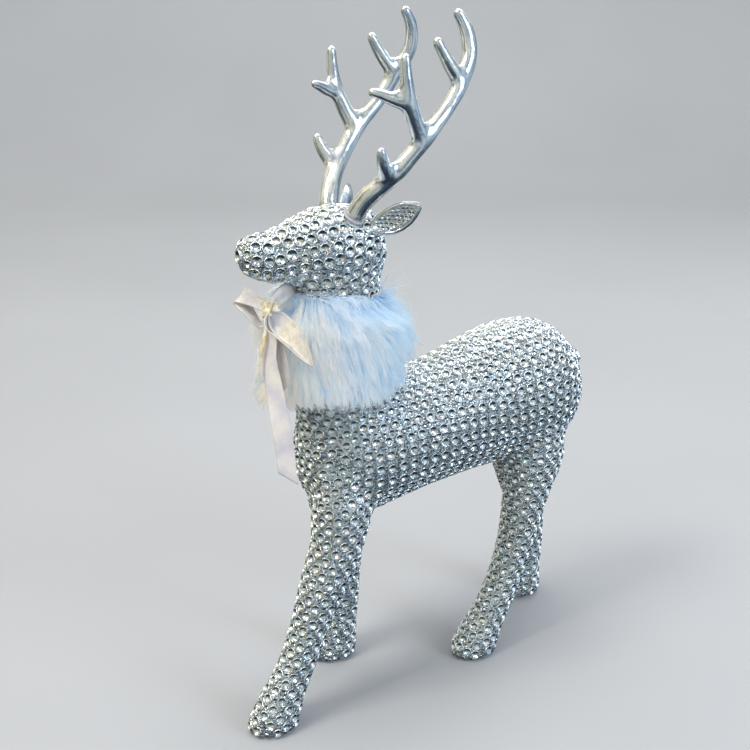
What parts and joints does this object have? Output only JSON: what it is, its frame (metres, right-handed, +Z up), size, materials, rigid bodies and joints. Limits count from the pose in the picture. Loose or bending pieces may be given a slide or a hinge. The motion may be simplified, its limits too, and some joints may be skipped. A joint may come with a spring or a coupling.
{
  "type": "reindeer figurine",
  "caption": "Free-standing walking reindeer covered in set stones, with branched plated antlers that pull out, plated ears, a fur collar and a satin ribbon bow.",
  "frame": {"origin": "on the floor, at the centre of the whole figure's box", "axes": "+Z up along the figure's height, the reindeer faces -Y, its left side is +X"},
  "size_m": [0.0774, 0.2397, 0.363],
  "materials": {
    "foam": "matte",
    "dowel": "matte",
    "steel_wire": "satin",
    "stones": "sparkling",
    "sole": "matte",
    "socket": "satin",
    "plating": "polished",
    "fur": "matte",
    "ribbon": "satin"
  },
  "bodies": {
    "reindeer": {"antler_socket_left": "socket", "antler_socket_right": "socket", "barrel_stone_sheet": "stones", "bow_knot": "ribbon", "bow_loop_left": "ribbon", "bow_loop_right": "ribbon", "ear_left": "plating", "ear_right": "plating", "ear_stone_field_left": "stones", "ear_stone_field_right": "stones", "fur_collar": "fur", "haunch_stone_sheet": "stones", "head_core": "foam", "head_stone_sheet": "stones", "leg_core_front_left": "foam", "leg_core_front_right": "foam", "leg_core_rear_left": "foam", "leg_core_rear_right": "foam", "leg_stone_sheet_front_left": "stones", "leg_stone_sheet_front_right": "stones", "leg_stone_sheet_rear_left": "stones", "leg_stone_sheet_rear_right": "stones", "leg_wire_front_left": "steel_wire", "leg_wire_front_right": "steel_wire", "leg_wire_rear_left": "steel_wire", "leg_wire_rear_right": "steel_wire", "neck_core": "foam", "neck_dowel": "dowel", "neck_ribbon_band": "ribbon", "neck_stone_sheet": "stones", "ribbon_tail_long": "ribbon", "ribbon_tail_short": "ribbon", "sole_disc_front_left": "sole", "sole_disc_front_right": "sole", "sole_disc_rear_left": "sole", "sole_disc_rear_right": "sole", "tail_core": "foam", "tail_stone_sheet": "stones", "torso_core": "foam"},
    "antler_left": {"antler_left": "plating"},
    "antler_right": {"antler_right": "plating"}
  },
  "joints": [
    {"name": "antler_left_pull", "type": "slide", "parent": "reindeer", "child": "antler_left", "axis": [0.4, 0.3, 0.866], "range_m": [0, 0.045]},
    {"name": "antler_right_pull", "type": "slide", "parent": "reindeer", "child": "antler_right", "axis": [-0.4, 0.3, 0.866], "range_m": [0, 0.045]}
  ]
}
